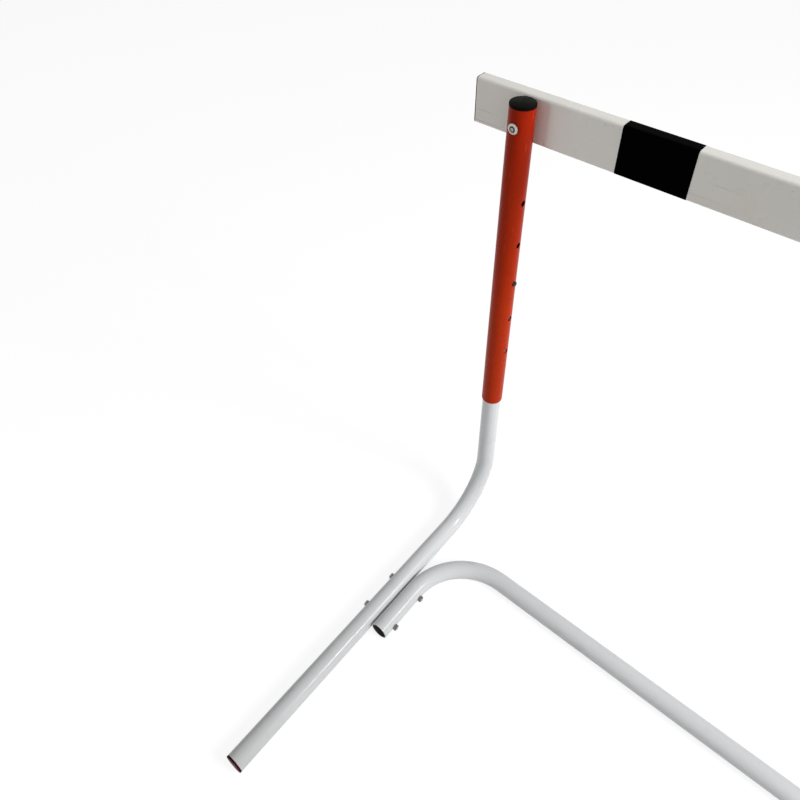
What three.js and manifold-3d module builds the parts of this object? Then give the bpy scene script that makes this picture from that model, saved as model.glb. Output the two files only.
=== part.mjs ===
// Adjustable track hurdle: two bent steel legs joined by a cross tube, and a striped board on two telescoping sleeves.
// Millimetres, +Z up, +X along the board, the feet reach towards -Y. The origin is on the ground, under the middle.
// It stands at its middle height setting. Each side is built round its own upright axis, at x = 0 and y = 0.

import * as THREE from "three";
import { mergeVertices } from "three/addons/utils/BufferGeometryUtils.js";
import Module from "manifold-3d";

const wasm = await Module();
wasm.setup();

// Board
const boardLength = 1200;
const boardHeight = 70;
const boardThickness = 22;
const boardEdgeRadius = 4;
const boardWall = 3;
const boardRib = 2;
const boardChambers = 3;
const boardTop = 914;
const boardOverhang = 92;
const lightStripeWidth = 230;
const darkStripeWidth = 101;
const filmThickness = 0.3;
const boardPlugFlange = 1.6;
const boardPlugDepth = 12;

// Height setting
const settingStep = 76.2;
const settingCount = 5;
const buttonBelowBoardTop = 309;
const holeRadius = 4.8;

// Sleeve
const sleeveRadius = 19;
const sleeveWall = 1.5;
const sleeveLength = 585.4;
const sleeveBelowBoardTop = 7.6;

// Sleeve cap
const capOverhang = 0.2;
const capRim = 4.6;
const capDome = 1.8;
const capRound = 1.6;
const capPlugDepth = 18;
const capPlugTaper = 1;

// Leg tube and cross tube
const tubeRadius = 17;
const tubeWall = 2;
const legAboveButton = 50;
const footLength = 683;
const bendRadius = 120;
const crossTubeSetback = 148;
const crossArmEnd = 371;

// Foot plug
const footPlugFlange = 3;
const footPlugRound = 0.8;
const footPlugDepth = 16;
const footPlugTaper = 1;

// Bolts that hold the cross tube's arms to the feet
const rearJointBolt = 274;
const jointBoltSpacing = 72;

// Joint bolts and nuts, M6
const boltRadius = 3;
const boltTail = 1.5;
const boltTailChamfer = 0.6;
const hexAcrossFlats = 10;
const hexHeadHeight = 4;
const hexNutHeight = 5.2;
const hexChamferSlope = Math.tan(Math.PI / 6);
const shankRoot = 0.7;

// Board bolt, M8, with a flanged button head, and its barrel nut and washer behind the board
const boardBoltRadius = 4;
const boardBoltShort = 4;
const headFlangeRadius = 8.3;
const headFlangeThickness = 1;
const headRadius = 6.8;
const headRise = 2.9;
const socketAcrossFlats = 5;
const socketDepth = 2.4;
const barrelRadius = 5;
const barrelLength = 17;
const barrelFloor = 1;
const barrelHeadRadius = 7.5;
const barrelHeadHeight = 2.6;
const barrelHeadEdge = 0.8;
const washerRadius = 10;
const washerThickness = 1.6;

// Snap button and its leaf spring
const buttonRadius = 4.2;
const buttonProud = 3.2;
const buttonFlangeRadius = 5.4;
const buttonFlangeThickness = 1;
const leafWidth = 9;
const leafThickness = 0.8;
const leafAboveButton = 12;
const leafBelowButton = 46;
const leafBendRadius = 5;
const leafTipRise = 8;

// Clearances
const seatGap = 0.2;
const boltClearance = 0.35;
const plugClearance = 0.3;
const tubeContactGap = 0.3;
const cutOverrun = 6;

// Facets
const tubeFacets = 32;
const boreFacets = 24;
const bendSteps = 8;
const leafBendSteps = 8;
const cornerSegments = 4;
const hexSides = 6;
const hexFacets = 24;
const turnFacets = 32;
const headFacets = 20;
const smallFacets = 16;
const drillFacets = 12;
const roundSteps = 2;
const domeSteps = 3;

// Places that follow from the sizes
const uprightOffset = boardLength / 2 - boardOverhang;
const boardFront = sleeveRadius + capOverhang + seatGap;
const boardBack = boardFront + boardThickness;
const boardMiddle = boardTop - boardHeight / 2;
const boardBolt = boardMiddle;
const sleeveTop = boardTop - sleeveBelowBoardTop;
const sleeveBottom = sleeveTop - sleeveLength;
const middleHoleHeight = boardTop - buttonBelowBoardTop;
const legTop = middleHoleHeight + legAboveButton;
const armOffset = tubeRadius * 2 + tubeContactGap;
const tubeBore = tubeRadius - tubeWall;
const sleeveBore = sleeveRadius - sleeveWall;
const jointBolts = { rear: rearJointBolt, front: rearJointBolt + jointBoltSpacing };
const frontReach = footLength + seatGap + footPlugFlange;
const backReach = boardBack + seatGap * 2 + washerThickness + barrelHeadHeight;

// Finishes
function finish(color, roughness, metalness) {
  return new THREE.MeshStandardMaterial({ color, roughness, metalness });
}
const whitePaint = finish(0xdadfe2, 0.42, 0.1);
const redPaint = finish(0xb02008, 0.3, 0.1);
const boardPlastic = finish(0xc8c6be, 0.3, 0);
const blackFilm = finish(0x090909, 0.28, 0);
const blackPlastic = finish(0x1c1d1b, 0.45, 0);
const maroonPlastic = finish(0x6e1512, 0.5, 0);
const greyPlastic = finish(0x8c8c88, 0.5, 0);
const zinc = finish(0xb9b8b2, 0.35, 1);
const springSteel = finish(0x8d8f90, 0.35, 1);

// Straight runs joined by round bends of one radius, one step to a run and bendSteps to a bend.
class BentPath extends THREE.Curve {
  constructor(corners, radius, stepsPerBend) {
    super();
    this.stations = [];
    const last = corners.length - 1;
    this.addStation(corners[0], corners[1].clone().sub(corners[0]));
    for (let i = 1; i < last; i += 1) {
      this.addBend(corners[i - 1], corners[i], corners[i + 1], radius, stepsPerBend);
    }
    this.addStation(corners[last], corners[last].clone().sub(corners[last - 1]));
  }

  addStation(point, tangent) {
    this.stations.push({ point: point.clone(), tangent: tangent.clone().normalize() });
  }

  addBend(before, corner, after, radius, steps) {
    const into = corner.clone().sub(before).normalize();
    const out = after.clone().sub(corner).normalize();
    const turn = into.angleTo(out);
    const setback = radius * Math.tan(turn / 2);
    const start = corner.clone().addScaledVector(into, -setback);
    const axis = into.clone().cross(out).normalize();
    const toCentre = axis.clone().cross(into).multiplyScalar(radius);
    const centre = start.clone().add(toCentre);
    for (let i = 0; i <= steps; i += 1) {
      const angle = (turn * i) / steps;
      const spoke = toCentre.clone().negate().applyAxisAngle(axis, angle);
      this.addStation(centre.clone().add(spoke), into.clone().applyAxisAngle(axis, angle));
    }
  }

  get steps() {
    return this.stations.length - 1;
  }

  getPoint(t, target = new THREE.Vector3()) {
    const place = t * this.steps;
    const index = Math.min(Math.floor(place), this.steps - 1);
    const from = this.stations[index].point;
    return target.copy(from).lerp(this.stations[index + 1].point, place - index);
  }

  getPointAt(u, target) {
    return this.getPoint(u, target);
  }

  getTangentAt(u, target = new THREE.Vector3()) {
    return target.copy(this.stations[Math.round(u * this.steps)].tangent);
  }
}

// Booleans
function toSolid(geometry) {
  const bare = geometry.clone();
  bare.deleteAttribute("normal");
  bare.deleteAttribute("uv");
  const merged = mergeVertices(bare);
  return new wasm.Manifold(new wasm.Mesh({
    numProp: 3,
    vertProperties: new Float32Array(merged.attributes.position.array),
    triVerts: new Uint32Array(merged.index.array),
  }));
}

function toGeometry(solid) {
  const mesh = solid.getMesh();
  const geometry = new THREE.BufferGeometry();
  geometry.setAttribute("position", new THREE.BufferAttribute(mesh.vertProperties, mesh.numProp));
  geometry.setIndex(new THREE.BufferAttribute(mesh.triVerts, 1));
  geometry.computeVertexNormals();
  return geometry;
}

function cut(geometry, cutters) {
  return toGeometry(cutters.reduce((solid, cutter) => solid.subtract(toSolid(cutter)), toSolid(geometry)));
}

function join(geometries) {
  return toGeometry(geometries.map(toSolid).reduce((whole, solid) => whole.add(solid)));
}

// Basic forms
function circlePoints(radius, facets) {
  const points = [];
  for (let i = 0; i < facets; i += 1) {
    const angle = (Math.PI * 2 * i) / facets;
    points.push(new THREE.Vector2(radius * Math.cos(angle), radius * Math.sin(angle)));
  }
  return points;
}

function ringShape(outer, inner, outerFacets, innerFacets) {
  const shape = new THREE.Shape(circlePoints(outer, outerFacets));
  shape.holes.push(new THREE.Path(circlePoints(inner, innerFacets)));
  return shape;
}

function bentTube(path) {
  return new THREE.ExtrudeGeometry(ringShape(tubeRadius, tubeBore, tubeFacets, boreFacets), {
    steps: path.steps,
    extrudePath: path,
  });
}

function drillX(radius, fromX, toX, y, z, facets) {
  const drill = new THREE.CylinderGeometry(radius, radius, Math.abs(toX - fromX), facets);
  return drill.rotateZ(Math.PI / 2).translate((fromX + toX) / 2, y, z);
}

function drillY(radius, fromY, toY, x, z, facets) {
  const drill = new THREE.CylinderGeometry(radius, radius, Math.abs(toY - fromY), facets);
  return drill.translate(x, (fromY + toY) / 2, z);
}

function turned(profile, segments) {
  return new THREE.LatheGeometry(profile.map(([r, h]) => new THREE.Vector2(r, h)), segments);
}

function quarterRound(radius, height, round, steps) {
  const points = [];
  for (let i = 0; i <= steps; i += 1) {
    const angle = (Math.PI / 2) * (i / steps);
    points.push([radius - round + round * Math.cos(angle), height - round + round * Math.sin(angle)]);
  }
  return points;
}

// A dome of the given base radius and rise, from its edge to just short of the axis.
function domeProfile(baseRadius, baseHeight, rise, steps) {
  const sphere = (baseRadius * baseRadius + rise * rise) / (rise * 2);
  const points = [];
  for (let i = 1; i <= steps; i += 1) {
    const r = baseRadius * (1 - i / steps);
    points.push([r, baseHeight + rise - sphere + Math.sqrt(sphere * sphere - r * r)]);
  }
  return points;
}

// Legs and cross tube
function legGeometry(inward) {
  const path = new BentPath([
    new THREE.Vector3(0, 0, legTop),
    new THREE.Vector3(0, 0, tubeRadius),
    new THREE.Vector3(0, -footLength, tubeRadius),
  ], bendRadius, bendSteps);
  const hole = boltRadius + boltClearance;
  const reach = tubeRadius + cutOverrun;
  const cutters = Object.values(jointBolts).map((y) => (
    drillX(hole, -reach, reach, -y, tubeRadius, drillFacets)
  ));
  cutters.push(drillX(holeRadius, 0, inward * reach, 0, middleHoleHeight, smallFacets));
  return cut(bentTube(path), cutters);
}

function crossTubeGeometry() {
  const armX = uprightOffset - armOffset;
  const path = new BentPath([
    new THREE.Vector3(-armX, -crossArmEnd, tubeRadius),
    new THREE.Vector3(-armX, -crossTubeSetback, tubeRadius),
    new THREE.Vector3(armX, -crossTubeSetback, tubeRadius),
    new THREE.Vector3(armX, -crossArmEnd, tubeRadius),
  ], bendRadius, bendSteps);
  const hole = boltRadius + boltClearance;
  const reach = tubeRadius + cutOverrun;
  const cutters = [];
  for (const side of [-1, 1]) {
    for (const y of Object.values(jointBolts)) {
      cutters.push(drillX(hole, side * armX - reach, side * armX + reach, -y, tubeRadius, drillFacets));
    }
  }
  return cut(bentTube(path), cutters);
}

function footPlugGeometry() {
  const stem = tubeBore - plugClearance;
  return turned([
    [0, -footPlugDepth],
    [stem - footPlugTaper, -footPlugDepth],
    [stem, 0],
    [tubeRadius, 0],
    ...quarterRound(tubeRadius, footPlugFlange, footPlugRound, roundSteps),
    [0, footPlugFlange],
  ], turnFacets).rotateX(Math.PI);
}

// Sleeves
function sleeveGeometry(inward) {
  const tube = new THREE.ExtrudeGeometry(ringShape(sleeveRadius, sleeveBore, tubeFacets, tubeFacets), {
    depth: sleeveLength,
    bevelEnabled: false,
  }).translate(0, 0, sleeveBottom);
  const reach = sleeveRadius + cutOverrun;
  const cutters = [drillY(boardBoltRadius + boltClearance, -reach, reach, 0, boardBolt, drillFacets)];
  const lowest = middleHoleHeight - settingStep * ((settingCount - 1) / 2);
  for (let i = 0; i < settingCount; i += 1) {
    cutters.push(drillX(holeRadius, 0, inward * reach, 0, lowest + settingStep * i, smallFacets));
  }
  return cut(tube, cutters);
}

function sleeveCapGeometry() {
  const stem = sleeveBore - plugClearance;
  const rim = sleeveRadius + capOverhang;
  return turned([
    [0, -capPlugDepth],
    [stem - capPlugTaper, -capPlugDepth],
    [stem, 0],
    [rim, 0],
    ...quarterRound(rim, capRim, capRound, roundSteps),
    ...domeProfile(rim - capRound, capRim, capDome, domeSteps),
  ], turnFacets);
}

// Board
function roundedOutline(halfWidth, halfHeight, radius) {
  const outline = new THREE.Path();
  outline.absarc(halfWidth - radius, halfHeight - radius, radius, 0, Math.PI / 2);
  outline.absarc(radius - halfWidth, halfHeight - radius, radius, Math.PI / 2, Math.PI);
  outline.absarc(radius - halfWidth, radius - halfHeight, radius, Math.PI, Math.PI * 1.5);
  outline.absarc(halfWidth - radius, radius - halfHeight, radius, Math.PI * 1.5, Math.PI * 2);
  return outline;
}

const chamberHeight = (boardHeight - boardWall * 2 - boardRib * (boardChambers - 1)) / boardChambers;
const chamberPitch = chamberHeight + boardRib;
const chamberHalfDepth = boardThickness / 2 - boardWall;
const chamberRadius = boardEdgeRadius / 2;

function chamberMiddle(index) {
  return (index - (boardChambers - 1) / 2) * chamberPitch;
}

// Extrudes a section drawn in thickness and height along the board, from one x to another.
function alongBoard(shape, fromX, toX) {
  const bar = new THREE.ExtrudeGeometry(shape, {
    depth: toX - fromX,
    curveSegments: cornerSegments / 2,
    bevelEnabled: false,
  });
  bar.rotateX(Math.PI / 2).rotateZ(Math.PI / 2);
  return bar.translate(fromX, (boardFront + boardBack) / 2, boardMiddle);
}

function boardGeometry() {
  const shape = new THREE.Shape(roundedOutline(boardThickness / 2, boardHeight / 2, boardEdgeRadius)
    .getPoints(cornerSegments / 2));
  for (let i = 0; i < boardChambers; i += 1) {
    const chamber = roundedOutline(chamberHalfDepth, chamberHeight / 2, chamberRadius)
      .getPoints(cornerSegments / 2)
      .map((point) => new THREE.Vector2(point.x, point.y + chamberMiddle(i)));
    shape.holes.push(new THREE.Path(chamber));
  }
  const halfProfile = boardLength / 2 - boardPlugFlange - seatGap;
  const middle = (boardFront + boardBack) / 2;
  const cutters = [];
  for (const side of [-1, 1]) {
    const x = side * uprightOffset;
    const narrow = boardBoltRadius + boltClearance;
    const wide = barrelRadius + boltClearance;
    cutters.push(drillY(narrow, boardFront - cutOverrun, middle, x, boardBolt, drillFacets));
    cutters.push(drillY(wide, middle, boardBack + cutOverrun, x, boardBolt, drillFacets));
  }
  return cut(alongBoard(shape, -halfProfile, halfProfile), cutters);
}

function stripeFilmGeometry(side) {
  const inner = seatGap / 2;
  const outer = inner + filmThickness;
  const shape = new THREE.Shape(roundedOutline(
    boardThickness / 2 + outer,
    boardHeight / 2 + outer,
    boardEdgeRadius + outer,
  ).getPoints(cornerSegments / 2));
  shape.holes.push(new THREE.Path(roundedOutline(
    boardThickness / 2 + inner,
    boardHeight / 2 + inner,
    boardEdgeRadius + inner,
  ).getPoints(cornerSegments / 2)));
  const far = boardLength / 2 - lightStripeWidth;
  const near = far - darkStripeWidth;
  return alongBoard(shape, side < 0 ? -far : near, side < 0 ? -near : far);
}

function boardPlugGeometry(side) {
  const flange = new THREE.Shape(roundedOutline(boardThickness / 2, boardHeight / 2, boardEdgeRadius)
    .getPoints(cornerSegments / 2));
  const end = boardLength / 2;
  const span = (from, to) => (side < 0 ? [-to, -from] : [from, to]);
  const pieces = [alongBoard(flange, ...span(end - boardPlugFlange, end))];
  for (let i = 0; i < boardChambers; i += 1) {
    const stem = new THREE.Shape(roundedOutline(
      chamberHalfDepth - plugClearance,
      chamberHeight / 2 - plugClearance,
      chamberRadius - plugClearance,
    ).getPoints(cornerSegments / 2).map((point) => new THREE.Vector2(point.x, point.y + chamberMiddle(i))));
    const reach = end - boardPlugFlange / 2;
    pieces.push(alongBoard(stem, ...span(end - boardPlugFlange - boardPlugDepth, reach)));
  }
  return join(pieces);
}

// Fasteners, turned and extruded along +Y and then aimed
function hexagon(acrossFlats, fromHeight, toHeight) {
  const corner = acrossFlats / 2 / Math.cos(Math.PI / hexSides);
  const prism = new THREE.CylinderGeometry(corner, corner, toHeight - fromHeight, hexSides);
  return prism.translate(0, (fromHeight + toHeight) / 2, 0);
}

function chamferedHexagon(height) {
  const flat = hexAcrossFlats / 2;
  const corner = flat / Math.cos(Math.PI / hexSides);
  const outside = corner + cutOverrun;
  const cone = turned([
    [0, -cutOverrun],
    [outside, -cutOverrun],
    [outside, height - (outside - flat) * hexChamferSlope],
    [flat, height],
    [0, height],
  ], hexFacets);
  return toGeometry(toSolid(hexagon(hexAcrossFlats, 0, height)).intersect(toSolid(cone)));
}

function shank(length) {
  return turned([
    [0, -length],
    [boltRadius - boltTailChamfer, -length],
    [boltRadius, boltTailChamfer - length],
    [boltRadius, shankRoot],
    [0, shankRoot],
  ], smallFacets);
}

function hexBolt(grip) {
  return join([chamferedHexagon(hexHeadHeight), shank(grip)]);
}

function hexNut() {
  const hole = boltRadius + seatGap;
  const bore = drillY(hole, -cutOverrun, hexNutHeight + cutOverrun, 0, 0, smallFacets);
  return cut(chamferedHexagon(hexNutHeight), [bore]);
}

function buttonBolt(grip) {
  const top = headFlangeThickness + headRise;
  const bolt = turned([
    [0, -grip],
    [boardBoltRadius - boltTailChamfer, -grip],
    [boardBoltRadius, boltTailChamfer - grip],
    [boardBoltRadius, 0],
    [headFlangeRadius, 0],
    [headFlangeRadius, headFlangeThickness],
    [headRadius, headFlangeThickness],
    ...domeProfile(headRadius, headFlangeThickness, headRise, domeSteps),
  ], headFacets);
  return cut(bolt, [hexagon(socketAcrossFlats, top - socketDepth, top + cutOverrun)]);
}

function barrelNut() {
  const bore = boardBoltRadius + seatGap;
  return turned([
    [0, -barrelFloor],
    [bore, -barrelFloor],
    [bore, -barrelLength],
    [barrelRadius, -barrelLength],
    [barrelRadius, 0],
    [barrelHeadRadius, 0],
    [barrelHeadRadius, barrelHeadEdge],
    ...domeProfile(barrelHeadRadius, barrelHeadEdge, barrelHeadHeight - barrelHeadEdge, domeSteps),
  ], headFacets);
}

function washer() {
  return new THREE.ExtrudeGeometry(ringShape(washerRadius, barrelRadius + seatGap, turnFacets, headFacets), {
    depth: washerThickness,
    bevelEnabled: false,
  }).rotateX(-Math.PI / 2);
}

// Snap button and spring, in the upright's bore
const flangeFace = Math.sqrt(tubeBore ** 2 - buttonFlangeRadius ** 2) - plugClearance;
const leafFace = flangeFace - buttonFlangeThickness - seatGap;

function snapButton() {
  const tip = sleeveRadius + buttonProud;
  const round = buttonRadius / 2;
  return turned([
    [0, flangeFace - buttonFlangeThickness],
    [buttonFlangeRadius, flangeFace - buttonFlangeThickness],
    [buttonFlangeRadius, flangeFace],
    [buttonRadius, flangeFace],
    ...quarterRound(buttonRadius, tip, round, roundSteps),
    [0, tip],
  ], smallFacets);
}

function snapSpring(inward) {
  const leafX = leafFace - leafThickness / 2;
  const farX = -Math.sqrt(tubeBore ** 2 - (leafWidth / 2) ** 2) + leafThickness / 2 + plugClearance;
  const path = new BentPath([
    new THREE.Vector3(inward * leafX, 0, middleHoleHeight + leafAboveButton),
    new THREE.Vector3(inward * leafX, 0, middleHoleHeight - leafBelowButton),
    new THREE.Vector3(inward * farX, 0, middleHoleHeight + leafTipRise),
  ], leafBendRadius, leafBendSteps);
  const strip = new THREE.Shape();
  strip.moveTo(-leafWidth / 2, -leafThickness / 2);
  strip.lineTo(leafWidth / 2, -leafThickness / 2);
  strip.lineTo(leafWidth / 2, leafThickness / 2);
  strip.lineTo(-leafWidth / 2, leafThickness / 2);
  return new THREE.ExtrudeGeometry(strip, { steps: path.steps, extrudePath: path });
}

// Assembly
function piece(parent, name, geometry, material) {
  const mesh = new THREE.Mesh(geometry, material);
  mesh.name = name;
  parent.add(mesh);
  return mesh;
}

function jointFasteners(parent, side, inward, name, y) {
  const grip = tubeRadius * 2 + armOffset + seatGap * 2 + hexNutHeight + boltTail;
  const bolt = piece(parent, `${side}_${name}_joint_bolt`, hexBolt(grip), zinc);
  bolt.rotation.z = (inward * Math.PI) / 2;
  bolt.position.set(-inward * (tubeRadius + seatGap), -y, tubeRadius);
  const nut = piece(parent, `${side}_${name}_joint_nut`, hexNut(), zinc);
  nut.rotation.z = (-inward * Math.PI) / 2;
  nut.position.set(inward * (armOffset + tubeRadius + seatGap), -y, tubeRadius);
}

function boardFasteners(parent, side) {
  const headFace = sleeveRadius + seatGap;
  const washerFace = boardBack + seatGap;
  const nutFace = washerFace + washerThickness + seatGap;
  const bolt = piece(parent, `${side}_board_bolt`, buttonBolt(headFace + boardBack - boardBoltShort), zinc);
  bolt.rotation.z = Math.PI;
  bolt.position.set(0, -headFace, boardBolt);
  const ring = piece(parent, `${side}_board_washer`, washer(), zinc);
  ring.position.set(0, washerFace, boardBolt);
  const nut = piece(parent, `${side}_board_nut`, barrelNut(), zinc);
  nut.position.set(0, nutFace, boardBolt);
}

function hurdleSide(side, inward) {
  const group = new THREE.Group();
  group.position.x = -inward * uprightOffset;
  piece(group, `${side}_leg`, legGeometry(inward), whitePaint);
  const footPlug = piece(group, `${side}_foot_plug`, footPlugGeometry(), maroonPlastic);
  footPlug.position.set(0, -footLength - seatGap, tubeRadius);
  for (const [name, y] of Object.entries(jointBolts)) {
    jointFasteners(group, side, inward, name, y);
  }
  piece(group, `${side}_sleeve`, sleeveGeometry(inward), redPaint);
  const cap = piece(group, `${side}_sleeve_cap`, sleeveCapGeometry(), blackPlastic);
  cap.rotation.x = Math.PI / 2;
  cap.position.z = sleeveTop + seatGap;
  boardFasteners(group, side);
  const button = piece(group, `${side}_snap_button`, snapButton(), zinc);
  button.rotation.z = (-inward * Math.PI) / 2;
  button.position.z = middleHoleHeight;
  piece(group, `${side}_snap_spring`, snapSpring(inward), springSteel);
  return group;
}

const hurdle = new THREE.Group();
hurdle.position.y = (frontReach - backReach) / 2;
hurdle.add(hurdleSide("left", 1));
hurdle.add(hurdleSide("right", -1));
piece(hurdle, "cross_tube", crossTubeGeometry(), whitePaint);
piece(hurdle, "hurdle_board", boardGeometry(), boardPlastic);
for (const [name, side] of [["left", -1], ["right", 1]]) {
  piece(hurdle, `${name}_stripe_film`, stripeFilmGeometry(side), blackFilm);
  piece(hurdle, `${name}_board_plug`, boardPlugGeometry(side), greyPlastic);
}

export default hurdle;
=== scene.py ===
"""The looks of an adjustable track hurdle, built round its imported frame.

Metres, +Z up, +X along the board, the feet reach towards -Y, the origin on the ground under the middle.
It stands at its middle height setting.
"""

import math
from dataclasses import dataclass

import bmesh
import bpy
from mathutils import Matrix, Vector


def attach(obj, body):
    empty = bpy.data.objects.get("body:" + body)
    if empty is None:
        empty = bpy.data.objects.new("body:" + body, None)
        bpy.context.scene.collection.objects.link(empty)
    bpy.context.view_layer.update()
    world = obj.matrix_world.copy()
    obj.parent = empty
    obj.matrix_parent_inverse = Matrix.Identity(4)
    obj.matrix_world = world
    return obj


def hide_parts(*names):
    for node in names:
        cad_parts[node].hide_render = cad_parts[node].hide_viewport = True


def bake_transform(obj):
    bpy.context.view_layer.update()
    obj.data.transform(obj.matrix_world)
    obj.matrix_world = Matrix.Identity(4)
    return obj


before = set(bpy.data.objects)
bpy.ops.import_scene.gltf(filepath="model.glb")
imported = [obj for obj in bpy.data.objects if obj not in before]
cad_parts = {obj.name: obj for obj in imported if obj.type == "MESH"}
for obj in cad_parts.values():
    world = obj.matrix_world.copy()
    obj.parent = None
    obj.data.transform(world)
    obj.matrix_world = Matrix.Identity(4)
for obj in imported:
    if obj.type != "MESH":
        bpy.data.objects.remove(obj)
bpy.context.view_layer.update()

MM = 0.001
FULL_TURN = 2 * math.pi
HALF_TURN = math.pi
QUARTER_TURN = math.pi / 2

# The two sides, each with its direction inward along X
SIDES = {"left": 1, "right": -1}

# Axes of the uprights, which the other places are measured from
UPRIGHT_X = 508 * MM
UPRIGHT_Y = 320.1 * MM

# Height settings
SETTING_STEP = 76.2 * MM
SETTING_COUNT = 5
MIDDLE_HOLE_Z = 605 * MM
SNAP_HOLE_RADIUS = 4.8 * MM

# Sleeve and its cap
SLEEVE_RADIUS = 19 * MM
SLEEVE_BORE = 17.5 * MM
SLEEVE_BOTTOM = 321 * MM
SLEEVE_TOP = 906.4 * MM
CAP_RADIUS = 19.2 * MM
CAP_RIM = 4.6 * MM
CAP_DOME = 1.8 * MM
CAP_ROUND = 1.6 * MM
CAP_STEM = 17.2 * MM
CAP_DEPTH = 18 * MM

# Leg tube and cross tube
TUBE_RADIUS = 17 * MM
TUBE_BORE = 15 * MM
LEG_TOP = 655 * MM
FOOT_LENGTH = 683 * MM
BEND_RADIUS = 120 * MM
CROSS_SETBACK = 148 * MM
CROSS_ARM_END = 371 * MM
ARM_OFFSET = 34.3 * MM

# Foot plug
PLUG_FLANGE = 3 * MM
PLUG_ROUND = 0.8 * MM
PLUG_STEM = 14.7 * MM
PLUG_DEPTH = 16 * MM
STEM_TAPER = 1 * MM

# Bolts through the cross tube's arms and the feet, by how far they lie in front of the uprights
JOINT_BOLTS = {"rear": 274 * MM, "front": 346 * MM}

# Board
BOARD_HALF_LENGTH = 600 * MM
BOARD_HALF_HEIGHT = 35 * MM
BOARD_HALF_DEPTH = 11 * MM
BOARD_ROUND = 4 * MM
BOARD_WALL = 3 * MM
BOARD_MIDDLE_Y = UPRIGHT_Y + 30.4 * MM
BOARD_MIDDLE_Z = 879 * MM
CHAMBER_HALF_HEIGHT = 10 * MM
CHAMBER_PITCH = 22 * MM
CHAMBER_ROUND = 2 * MM
CHAMBER_COUNT = 3
FILM_NEAR = 269 * MM
FILM_FAR = 370 * MM
FILM_GAP = 0.1 * MM
FILM_THICKNESS = 0.3 * MM
END_FLANGE = 1.6 * MM
END_ROUND = 0.5 * MM
END_STEM_DEPTH = 12 * MM
END_STEM_CLEARANCE = 0.3 * MM

# Joint bolts and nuts, M6
BOLT_RADIUS = 3 * MM
BOLT_HOLE = 3.35 * MM
BOLT_PITCH = 1 * MM
BOLT_THREAD = 19 * MM
NUT_BORE = 3.2 * MM
TAIL = 1.5 * MM
TAIL_CHAMFER = 0.6 * MM
HEX_FLAT = 5 * MM
HEX_HEAD = 4 * MM
HEX_NUT = 5.2 * MM
HEX_CHAMFER_SLOPE = math.tan(math.radians(30))
HEX_CORNER_EVERY = math.radians(60)
THREAD_DEPTH_SHARE = 0.55
THREAD_STEPS = 6

# Board bolt, M8, with a flanged button head
BOARD_BOLT_RADIUS = 4 * MM
BOARD_BOLT_HOLE = 4.35 * MM
BOARD_BOLT_PITCH = 1.25 * MM
BOARD_BOLT_THREAD = 22 * MM
BOARD_BOLT_SHORT = 4 * MM
HEAD_FLANGE_RADIUS = 8.3 * MM
HEAD_FLANGE = 1 * MM
HEAD_FLANGE_ROUND = 0.4 * MM
HEAD_RADIUS = 6.8 * MM
HEAD_RISE = 2.9 * MM
SOCKET_FLAT = 2.5 * MM
SOCKET_DEPTH = 2.4 * MM
SOCKET_CONE = 0.7 * MM
SOCKET_LIP = 0.2 * MM

# Barrel nut and washer behind the board
BARREL_RADIUS = 5 * MM
BARREL_HOLE = 5.35 * MM
BARREL_BORE = 4.2 * MM
BARREL_LENGTH = 17 * MM
BARREL_FLOOR = 1 * MM
BARREL_HEAD_RADIUS = 7.5 * MM
BARREL_HEAD_EDGE = 0.8 * MM
BARREL_HEAD_RISE = 1.8 * MM
BARREL_SOCKET_DEPTH = 1.6 * MM
WASHER_RADIUS = 10 * MM
WASHER_BORE = 5.2 * MM
WASHER_THICKNESS = 1.6 * MM
WASHER_EDGE = 0.3 * MM
SEAT_GAP = 0.2 * MM

# Snap button
BUTTON_RADIUS = 4.2 * MM
BUTTON_TIP = 22.2 * MM
BUTTON_ROUND = 2.1 * MM
BUTTON_FLANGE_RADIUS = 5.4 * MM
BUTTON_FLANGE_BACK = 12.7 * MM
BUTTON_FLANGE_FACE = 13.7 * MM

# Leaf spring behind the button
LEAF_NEAR = 12.1 * MM
LEAF_FAR = 13.6 * MM
LEAF_ABOVE = 12 * MM
LEAF_BELOW = 46 * MM
LEAF_TIP_RISE = 8 * MM
LEAF_BEND_RADIUS = 5 * MM
LEAF_HALF_WIDTH = 4.5 * MM
LEAF_HALF_THICKNESS = 0.4 * MM
LEAF_ROUND = 0.15 * MM
LEAF_ROWS = 48

# Rounded lips of the tubes' ends and holes, and the square patch of faces round a hole
LIP = 0.35 * MM
LIP_SUPPORT = 0.7 * MM
PATCH_REACH = 4
PATCH_MARGIN = 1.25 * MM

# Fineness of the meshes
COLUMNS = 64
SMALL_COLUMNS = 48
BEND_STEPS = 24
LIP_STEPS = 3
CORNER_STEPS = 6
ROUND_STEPS = 6
DOME_STEPS = 10
BEVEL_WIDTH = 0.18 * MM
BEVEL_SEGMENTS = 2
BEVEL_ANGLE = math.radians(40)
SHARP_ANGLE = math.radians(35)
MERGE_DISTANCE = 0.001 * MM
PLACE_DIGITS = 7

# Bands of faces on the bolts and nuts, counted from the axis outward, that get their second material
HEX_SHANK_START = 4
DOME_START = 4
FLANGE_START = DOME_START + DOME_STEPS + 1
# Painted shade in the barrel nut's socket
SOCKET_BANDS = range(1, DOME_START)
# Painted dark reflection round the board bolt's socket
INNER_DOME_BANDS = range(DOME_START, DOME_START + DOME_STEPS // 2)
# Painted shadow round the edge of the board bolt's flange
FLANGE_BANDS = range(FLANGE_START, FLANGE_START + ROUND_STEPS + 2)

# Heights and depths where the paint changes
# Painted shade: the white paint darkens over this span towards the front ends of the feet
FOOT_SHADE_FROM_Y = 100 * MM
FOOT_SHADE_TO_Y = -360 * MM
DIRT_TOP_Z = 9 * MM
DIRT_FULL_Z = 1 * MM
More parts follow.
